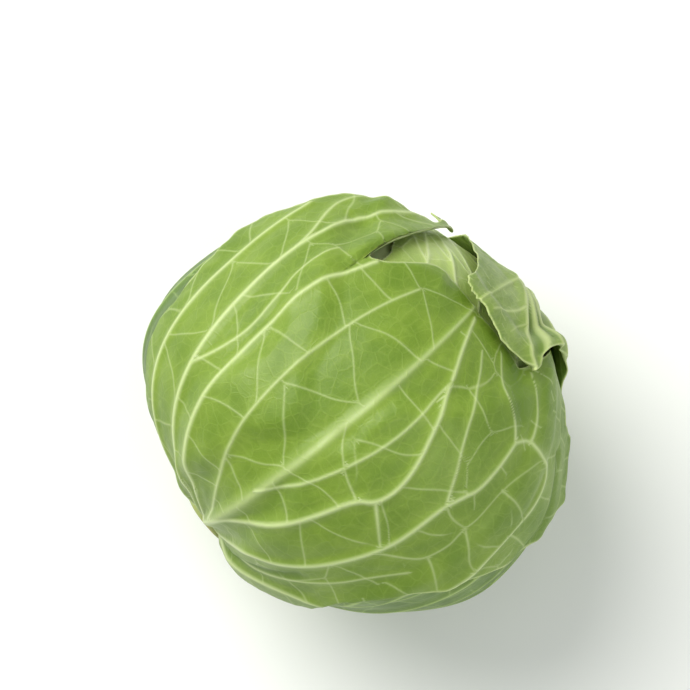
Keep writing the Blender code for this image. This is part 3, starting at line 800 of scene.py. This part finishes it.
def make_blade(order, finish):
    leaf = LEAVES[order]
    outer, inner, plan_points, looks = blade_shape(order)
    bm = bmesh.new()
    bmesh.ops.create_grid(bm, x_segments=COLUMNS - 1, y_segments=ROWS - 1, size=1.0)
    lower = list(bm.verts)
    made = bmesh.ops.extrude_face_region(bm, geom=bm.faces[:], use_keep_orig=True)
    upper = [v for v in made["geom"] if isinstance(v, bmesh.types.BMVert)]
    order_of = {(round(v.co.x, 5), round(v.co.y, 5)): i for i, v in enumerate(lower)}
    upper.sort(key=lambda v: order_of[(round(v.co.x, 5), round(v.co.y, 5))])
    bm.verts.index_update()
    places = np.array([v.index for v in lower] + [v.index for v in upper])
    # The fine relief may not carry a blade past the model's own box
    for vert, point in zip(lower + upper, np.clip(to_world(np.concatenate([inner, outer])), *cad_box)):
        vert.co = point
    piece = finish_mesh(leaf["name"].replace("leaf", "blade"), bm, finish)
    mesh = piece.data
    for name, values in looks.items():
        spread = np.zeros(len(mesh.vertices))
        spread[places] = np.concatenate([values, values])
        keep_attribute(mesh, name, spread)
    flat = np.zeros((len(mesh.vertices), 2))
    flat[places] = np.concatenate([plan_points, plan_points]) * ARC / PLAN_UNIT
    corners = np.zeros(len(mesh.loops), np.int32)
    mesh.loops.foreach_get("vertex_index", corners)
    plan_map = mesh.uv_layers.new(name="leaf_plan").data
    plan_map.foreach_set("uv", flat[corners].ravel().astype(np.float32))
    triangles = sum(len(p.vertices) - 2 for p in mesh.polygons)
    print(piece.name, "has", triangles, "triangles")
    return piece


# %% [markdown]
# ## The finish of a leaf
#
# A cabbage leaf is thin living tissue under a skin of wax: satin, slightly see-through, deepest green in the
# middle of each cell and pale along every vein. We mix its colour from deep to pale by the attributes that
# the blade carries, add two finer nets that are too small for the mesh, and use a principled shader with a
# little light under the surface. The fine nets are drawn on the leaf's own plan, so that they follow the
# leaf round the head. The recipe is kept in short tables, and loops turn each row into nodes.

# %% Node and colour helpers
def tint(code):
    """An sRGB hex colour as linear red, green, blue and alpha."""
    parts = [int(code[i : i + 2], 16) / 255.0 for i in (1, 3, 5)]
    return (*(p / 12.92 if p <= 0.04045 else ((p + 0.055) / 1.055) ** 2.4 for p in parts), 1.0)


def add_node(tree, kind, inputs=(), **settings):
    """Adds a node with its settings. An input is a value, or another node's output to link."""
    node = tree.nodes.new("ShaderNode" + kind)
    for name, setting in settings.items():
        setattr(node, name, setting)
    for socket, given in dict(inputs).items():
        if isinstance(given, bpy.types.NodeSocket):
            tree.links.new(given, node.inputs[socket])
        else:
            node.inputs[socket].default_value = given
    return node


def new_finish(name):
    made = bpy.data.materials.new(name)
    made.use_nodes = True
    made.node_tree.nodes.clear()
    return made, made.node_tree


print("mid green as linear colour:", [round(c, 3) for c in tint("#738f29")])

# %% The recipe of a leaf's finish
CARRIED = ("vein_side", "vein_near", "vein_half", "vein_pale", "net_side", "net_near", "net_pale",
           "midrib_side", "halo", "cell", "fold_shade", "edge", "base")
# Noises, with their size in millimetres, detail and roughness: blotches, flecks, and streaks up the leaf
NOISES = (("blotch", 25.0, 3.0, 0.55), ("fleck", 3.0, 2.0, 0.6), ("streak", 6.0, 2.0, 0.5))
STREAK_STRETCH = (0.25, 1.0, 1.0)
# Two fine nets with cells of this many millimetres, both bent a little by a noise of 9 mm
NETS = (("wide_net", 6.0), ("fine_net", 2.5))
BEND_SIZE, BEND = 9.0, (0.03, 0.03, 0.0)
# Smooth masks: what each is read from, where it is 1 and where it is 0
MASKS = (("at_vein", "vein_near", 1.1, 2.0), ("at_net", "net_near", 0.9, 1.5),
         ("deep_patch", "blotch", 0.62, 0.38), ("light_streak", "streak", 0.7, 0.45),
         ("wide_net", "wide_net", 0.0, 0.08), ("fine_net", "fine_net", 0.0, 0.12))
LINE_SLACK, NET_HALF = 0.65, 0.42   # in millimetres


def bell(line, distance, half):
    """The steps that draw a line: 1 on it, falling away over this half width."""
    return ((line, "DIVIDE", distance, half), (line, "MULTIPLY", line, line),
            (line, "MULTIPLY", line, -1.0), (line, "EXPONENT", line))


def pale_line(kind, half):
    """A vein's line. Its side is exact on the vein, but where two veins meet only nearness is right."""
    side, near, pale, line = (kind + end for end in ("_side", "_near", "_pale", "_line"))
    return ((side, "ABSOLUTE", side), (near, "SUBTRACT", near, LINE_SLACK), (side, "MAXIMUM", side, near),
            *bell(line, side, half), (pale, "MULTIPLY", pale, "at_" + kind), (line, "MULTIPLY", line, pale))


STEPS = (*pale_line("vein", "vein_half"), *pale_line("net", NET_HALF),
         *bell("midrib_line", "midrib_side", 0.5), *bell("rim_line", "edge", 0.7))
# Layers of colour from the lowest up: which colour, by which mask, and how strongly. The deep green laid
# into the folds and the dip is painted shade, partly the leaf's own deeper green
LAYERS = (("deep", "deep_patch", 0.75), ("deep", "cell", 0.4), ("light", "light_streak", 0.16),
          ("middle", "fleck", 0.2), ("light", "halo", 0.5), ("light", "fine_net", 0.08),
          ("light", "wide_net", 0.16), ("vein", "net_line", 0.3), ("deep", "fold_shade", 0.85),
          ("vein", "vein_line", 0.9), ("vein", "midrib_line", 0.45), ("rim", "rim_line", 0.75),
          ("cream", "base", 0.12))
# Relief too fine for the mesh, in millimetres: the crests of the veins, the nets and a slight grain
RELIEF = (("vein_line", 0.3), ("net_line", 0.1), ("wide_net", 0.05), ("fine_net", 0.02), ("fleck", 0.12),
          ("streak", 0.25))
# Wax bloom: from the first roughness where a blotch is thin to the second where it is full
BLOOM = {1: 0.3, 2: 0.7, 3: 0.4, 4: 0.56}
print("a leaf's colour has", len(LAYERS), "layers over", len(STEPS), "steps of arithmetic")


# %% The leaf finish
def leaf_finish(name, *codes):
    """Waxy leaf: satin green tissue, deeper in each cell, pale on the veins, cream at the base, and painted
    shade in the folds.
    """
    made, tree = new_finish(name)
    colours = dict(zip(("deep", "middle", "light", "vein", "cream", "rim"), (tint(code) for code in codes)))
    place = add_node(tree, "UVMap", uv_map="leaf_plan").outputs["UV"]
    stretched = add_node(tree, "VectorMath", {0: place, 1: STREAK_STRETCH}, operation="MULTIPLY").outputs[0]
    held = {key: add_node(tree, "Attribute", attribute_name=key).outputs["Fac"] for key in CARRIED}
    for key, size, detail, rough in NOISES:
        where = stretched if key == "streak" else place
        held[key] = add_node(tree, "TexNoise", dict(
            Scale=PLAN_UNIT / size, Detail=detail, Roughness=rough, Vector=where)).outputs["Fac"]
    drift = add_node(tree, "TexNoise", dict(Scale=PLAN_UNIT / BEND_SIZE, Detail=1.0, Vector=place))
    bent = add_node(tree, "VectorMath", {0: drift.outputs["Color"], 1: BEND, 2: place},
                    operation="MULTIPLY_ADD").outputs[0]
    for key, size in NETS:
        held[key] = add_node(tree, "TexVoronoi", dict(Scale=PLAN_UNIT / size, Vector=bent),
                             feature="DISTANCE_TO_EDGE").outputs["Distance"]
    for key, source, full, none in MASKS:
        held[key] = add_node(tree, "MapRange", {0: held[source], 1: full, 2: none, 3: 1.0, 4: 0.0},
                             interpolation_type="SMOOTHSTEP").outputs[0]
    for key, how, *terms in STEPS:
        inputs = {i: held.get(term, term) for i, term in enumerate(terms)}
        held[key] = add_node(tree, "Math", inputs, operation=how).outputs[0]
    colour = colours["middle"]
    for above, key, weight in LAYERS:
        share = add_node(tree, "Math", {0: held[key], 1: weight}, operation="MULTIPLY",
                         use_clamp=True).outputs[0]
        colour = add_node(tree, "Mix", {0: share, 6: colour, 7: colours[above]},
                          data_type="RGBA").outputs[2]
    fine = 0.0
    for key, height in RELIEF:
        part = add_node(tree, "Math", {0: held[key], 1: height}, operation="MULTIPLY").outputs[0]
        fine = add_node(tree, "Math", {0: fine, 1: part}, operation="ADD").outputs[0]
    bump = add_node(tree, "Bump", dict(Strength=1.0, Distance=MM, Height=fine)).outputs[0]
    gloss = add_node(tree, "MapRange", {0: held["blotch"], **BLOOM}).outputs[0]
    shader = add_node(tree, "BsdfPrincipled", {
        "Base Color": colour, "Roughness": gloss, "Normal": bump, "IOR": 1.42, "Subsurface Weight": 0.15,
        "Subsurface Radius": (0.7, 1.0, 0.25), "Subsurface Scale": 0.002, "Coat Weight": 0.06,
        "Coat Roughness": 0.35})
    add_node(tree, "OutputMaterial", dict(Surface=shader.outputs[0]))
    return made


# %% The five leaf finishes
# For each leaf from the crown leaf outwards: deep, middle and light tissue, vein, cream base and rim
SKINS = [leaf_finish(name, *codes.split()) for name, codes in (
    ("waxy_inner_leaf", "#8ba64a #a5bb62 #b9cc7c #cfdca2 #dbe2b0 #d3dda6"),
    ("waxy_dark_leaf", "#48661a #5f7d2a #7e9942 #a7be6e #bccb8c #adc176"),
    # The left leaf's finish is the right leaf's made darker: painted shade on that side of the head
    ("waxy_leaf_in_painted_shade", "#3f5b19 #517026 #6f8b3c #9ab466 #b2c184 #a0b76a"),
    ("waxy_pale_leaf", "#5b7a19 #738f29 #93ab49 #c8d79a #c6d396 #c3d28f"),
    ("waxy_mid_leaf", "#617d27 #7f983e #9fb45c #c0ce8a #c8d49b #c0ce8c"))]
print("leaf finishes:", [skin.name for skin in SKINS])

# %% [markdown]
# ## Laying the leaves
#
# The innermost leaf comes first, as in the plant. Each finer blade takes the place of the solid that has
# its name. The crown leaf is part of the model's head, so it stands for the head, together with the core.

# %% Make the blades
SLOTS = ("inner_leaf", "dark_leaf", "dark_leaf", "pale_leaf", "mid_leaf")
for order, (skin, slot) in enumerate(zip(SKINS, SLOTS)):
    blade = make_blade(order, skin)
    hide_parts("head" if order == 0 else LEAVES[order]["name"])

# %% [markdown]
# ## The core
#
# Under the leaves lies a tight ball of many more. Only a sliver of it can ever show between two margins, so
# it needs no leaves of its own: an icosphere is drawn to the core's form, since its points are spread
# evenly, and gets the palest of the leaf greens.

# %% The core of the head
def core_finish():
    """Tight inner leaves: pale, moist tissue with a faint, soft mottle."""
    made, tree = new_finish("inner_head_tissue")
    place = add_node(tree, "TexCoord").outputs["Object"]
    # Object coordinates are in metres: a scale of 120 makes a mottle about 8 mm across
    noise = add_node(tree, "TexNoise", dict(Scale=120.0, Detail=3.0, Vector=place))
    streaks = noise.outputs["Fac"]
    colour = add_node(tree, "Mix", {0: streaks, 6: tint("#b3c77c"), 7: tint("#d9e1b0")},
                      data_type="RGBA").outputs[2]
    bump = add_node(tree, "Bump", dict(Strength=0.4, Distance=0.0005, Height=streaks)).outputs[0]
    shader = add_node(tree, "BsdfPrincipled", {
        "Base Color": colour, "Roughness": 0.5, "Normal": bump, "IOR": 1.4, "Subsurface Weight": 0.15,
        "Subsurface Scale": 0.003})
    add_node(tree, "OutputMaterial", dict(Surface=shader.outputs[0]))
    return made


bm = bmesh.new()
bmesh.ops.create_icosphere(bm, subdivisions=6, radius=1.0)
ways = np.array([v.co.normalized() for v in bm.verts])
radii = np.minimum(core_radius(ways), rest_limit(ways, len(LEAVES)))
for vert, point in zip(bm.verts, to_world(ways * radii[:, None])):
    vert.co = point
core = finish_mesh("inner_head", bm, core_finish())
print("core:", len(core.data.polygons), "faces")

# %% [markdown]
# ## The cut stalk
#
# The head was cut from its root with a knife. The cut face is nearly flat, pale and moist, with a duller,
# greenish rim and a ring of fibre bundles round a paler pith. A cone operator gives the round stub, its
# edges are bevelled, and its side is drawn slightly out of round, since no stem is a perfect cylinder.

# %% The finish of a cut stem
# Rings of colour from the middle of the cut face outwards, and on to the side of the stub
RINGS = ((0.0, "#dfe0b4"), (0.45, "#e8e9c6"), (0.66, "#cdd49a"), (0.74, "#dfe2b5"), (0.9, "#d8d6a0"),
         (0.985, "#a8ab70"), (1.0, "#a3b26a"))


def cut_finish():
    """Cut stem: moist fibrous tissue, cream pith, a ring of bundles and a duller rim."""
    made, tree = new_finish("cut_stem_tissue")
    ring = add_node(tree, "Attribute", attribute_name="ring").outputs["Fac"]
    place = add_node(tree, "TexCoord").outputs["Object"]
    # Fibre ends about 0.8 mm apart, and slow stains of about 8 mm
    fibre = add_node(tree, "TexVoronoi", dict(Scale=1250.0, Vector=place)).outputs["Distance"]
    stain = add_node(tree, "TexNoise", dict(Scale=125.0, Detail=4.0, Vector=place)).outputs["Fac"]
    wander = add_node(tree, "Math", {0: stain, 1: 0.09, 2: ring}, operation="MULTIPLY_ADD").outputs[0]
    bands = add_node(tree, "ValToRGB", dict(Fac=wander))
    ramp = bands.color_ramp
    while len(ramp.elements) < len(RINGS):
        ramp.elements.new(0.5)
    for element, (position, code) in zip(ramp.elements, RINGS):
        element.position, element.color = position, tint(code)
    spots = add_node(tree, "MapRange", {0: fibre, 1: 0.1, 2: 0.6, 3: 0.25, 4: 0.0}).outputs[0]
    colour = add_node(tree, "Mix", {0: spots, 6: bands.outputs[0], 7: tint("#a8a565")},
                      data_type="RGBA").outputs[2]
    bump = add_node(tree, "Bump", dict(Strength=0.5, Distance=0.0003, Height=fibre)).outputs[0]
    shader = add_node(tree, "BsdfPrincipled", {
        "Base Color": colour, "Roughness": 0.55, "Normal": bump, "IOR": 1.4, "Subsurface Weight": 0.12,
        "Subsurface Scale": 0.003})
    add_node(tree, "OutputMaterial", dict(Surface=shader.outputs[0]))
    return made


stem_skin = cut_finish()
print("the cut face has", len(RINGS), "rings of colour")

# %% The stub
STALK_END, STALK_ROUNDING = 76.5, 1.2
FACE_RINGS, RING_STEP = 7, 1.55
OVAL, FLUTED, CUT_WAVE, CUT_DEPTH = 0.012, 0.008, 0.105, 0.3   # shares of the radius, then millimetres
length = STALK_END - CORE_BOTTOM - CLEARANCE
bm = bmesh.new()
bmesh.ops.create_cone(bm, cap_ends=True, segments=96, radius1=STALK_RADIUS, radius2=STALK_RADIUS,
                      depth=length)
rims = [e for e in bm.edges if abs(e.verts[0].co.z - e.verts[1].co.z) < 1e-6]
bmesh.ops.bevel(bm, geom=rims, offset=STALK_ROUNDING, segments=3, profile=0.5, affect="EDGES", material=-1)
for _ in range(FACE_RINGS):
    caps = [f for f in bm.faces if len(f.verts) > 4]
    bmesh.ops.inset_region(bm, faces=caps, thickness=RING_STEP, use_even_offset=True)
bmesh.ops.poke(bm, faces=[f for f in bm.faces if len(f.verts) > 4])
sides = [e for e in bm.edges if abs(e.verts[0].co.z - e.verts[1].co.z) > length / 2.0]
bmesh.ops.subdivide_edges(bm, edges=sides, cuts=5, use_grid_fill=True)
for vert in bm.verts:
    turn = math.atan2(vert.co.y, vert.co.x)
    out = math.hypot(vert.co.x, vert.co.y) / STALK_RADIUS
    drawn_in = OVAL * (1.0 + math.sin(3.0 * turn + 0.6)) + FLUTED * (1.0 + math.sin(7.0 * turn))
    vert.co.xy *= 1.0 - out * drawn_in
    if vert.co.z < CUT_DEPTH - length / 2.0:
        vert.co.z += CUT_WAVE * (1.0 + math.sin(0.9 * vert.co.x + 0.2)) * min(1.0, 2.0 - out)
    vert.co.z -= CORE_BOTTOM + CLEARANCE + length / 2.0
rings = [math.hypot(v.co.x, v.co.y) / STALK_RADIUS for v in bm.verts]
for vert, point in zip(bm.verts, to_world(np.array([v.co for v in bm.verts]))):
    vert.co = point
stub = finish_mesh("cut_stub", bm, stem_skin)
keep_attribute(stub.data, "ring", rings)
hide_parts("stalk")
print("stub:", len(stub.data.polygons), "faces")

# %% [markdown]
# ## Floor, light and eye
#
# The head lies on a plain pale floor. A cabbage looks fresh in soft light, so the main lamp is a large one
# at the upper left, with a weaker one opposite and an even pale sky that keeps the shadows open. The eye
# stands high above the head with a long lens, which keeps the head's true outline.

# %% The floor
FLOOR_RADIUS = 4.0   # in metres


def floor_finish():
    """Matt painted board: nearly white, with the faintest grain."""
    made, tree = new_finish("matt_white_board")
    place = add_node(tree, "TexCoord").outputs["Object"]
    grain = add_node(tree, "TexNoise", dict(Scale=8.0, Detail=4.0, Vector=place)).outputs["Fac"]
    colour = add_node(tree, "Mix", {0: grain, 6: tint("#eceeea"), 7: tint("#f1f2ef")},
                      data_type="RGBA").outputs[2]
    shader = add_node(tree, "BsdfPrincipled", {"Base Color": colour, "Roughness": 0.85})
    add_node(tree, "OutputMaterial", dict(Surface=shader.outputs[0]))
    return made


bm = bmesh.new()
bmesh.ops.create_circle(bm, cap_ends=True, segments=96, radius=FLOOR_RADIUS)
floor_mesh = bpy.data.meshes.new("floor")
bm.to_mesh(floor_mesh)
bm.free()
floor_mesh.materials.append(floor_finish())
floor = bpy.data.objects.new("floor", floor_mesh)
bpy.context.scene.collection.objects.link(floor)
print("the floor is", 2.0 * FLOOR_RADIUS, "m across")

# %% The light
HEAD_CENTRE = np.array([0.0, 0.0, REST_HEIGHT * MM])


def add_lamp(name, way, distance, size, power, colour):
    """A round soft lamp that points at the middle of the head."""
    lamp = bpy.data.lights.new(name, "AREA")
    lamp.shape, lamp.size, lamp.energy, lamp.color = "DISK", size, power, colour
    stand = bpy.data.objects.new(name, lamp)
    direction = unit(np.array(way, float))
    stand.location = HEAD_CENTRE + distance * direction
    stand.rotation_mode = "QUATERNION"
    stand.rotation_quaternion = Vector(-direction).to_track_quat("-Z", "Y")
    bpy.context.scene.collection.objects.link(stand)
    print(name, "gives", power, "W from", distance, "m")


# The way to each lamp, then its distance and size in metres, its power in watts and its colour
add_lamp("main_lamp", (-0.7, 0.6, 1.2), 1.6, 1.4, 30.0, (1.0, 0.985, 0.96))
add_lamp("fill_lamp", (0.9, -0.7, 0.9), 1.8, 1.6, 10.0, (0.95, 0.98, 1.0))
world = bpy.data.worlds.new("studio")
bpy.context.scene.world = world
world.use_nodes = True
sky = world.node_tree.nodes["Background"].inputs
sky["Color"].default_value, sky["Strength"].default_value = tint("#f4f6f4"), 0.55
bpy.context.scene.view_settings.view_transform = "Standard"

# %% The eye
PICTURE, MM_PER_PIXEL = 690, 0.4   # the picture's side in pixels, and what one shows
HEAD_AT = (355.0, 402.0)           # the head's centre in the picture
LENS, SENSOR = 200.0, 36.0

camera_data = bpy.data.cameras.new("eye")
camera_data.lens, camera_data.sensor_width = LENS, SENSOR
camera_data.shift_x = (PICTURE / 2.0 - HEAD_AT[0]) / PICTURE
camera_data.shift_y = (HEAD_AT[1] - PICTURE / 2.0) / PICTURE
camera_data.clip_start, camera_data.clip_end = 0.05, 30.0
camera = bpy.data.objects.new("eye", camera_data)
eye = math.radians(EYE_ELEVATION)
back = np.array([0.0, -math.cos(eye), math.sin(eye)])
distance = PICTURE * MM_PER_PIXEL * MM * LENS / SENSOR
camera.location = HEAD_CENTRE + distance * back
camera.rotation_euler = (math.pi / 2.0 - eye, 0.0, 0.0)
bpy.context.scene.collection.objects.link(camera)
bpy.context.scene.camera = camera
print("the eye is", round(distance, 3), "m from the head")
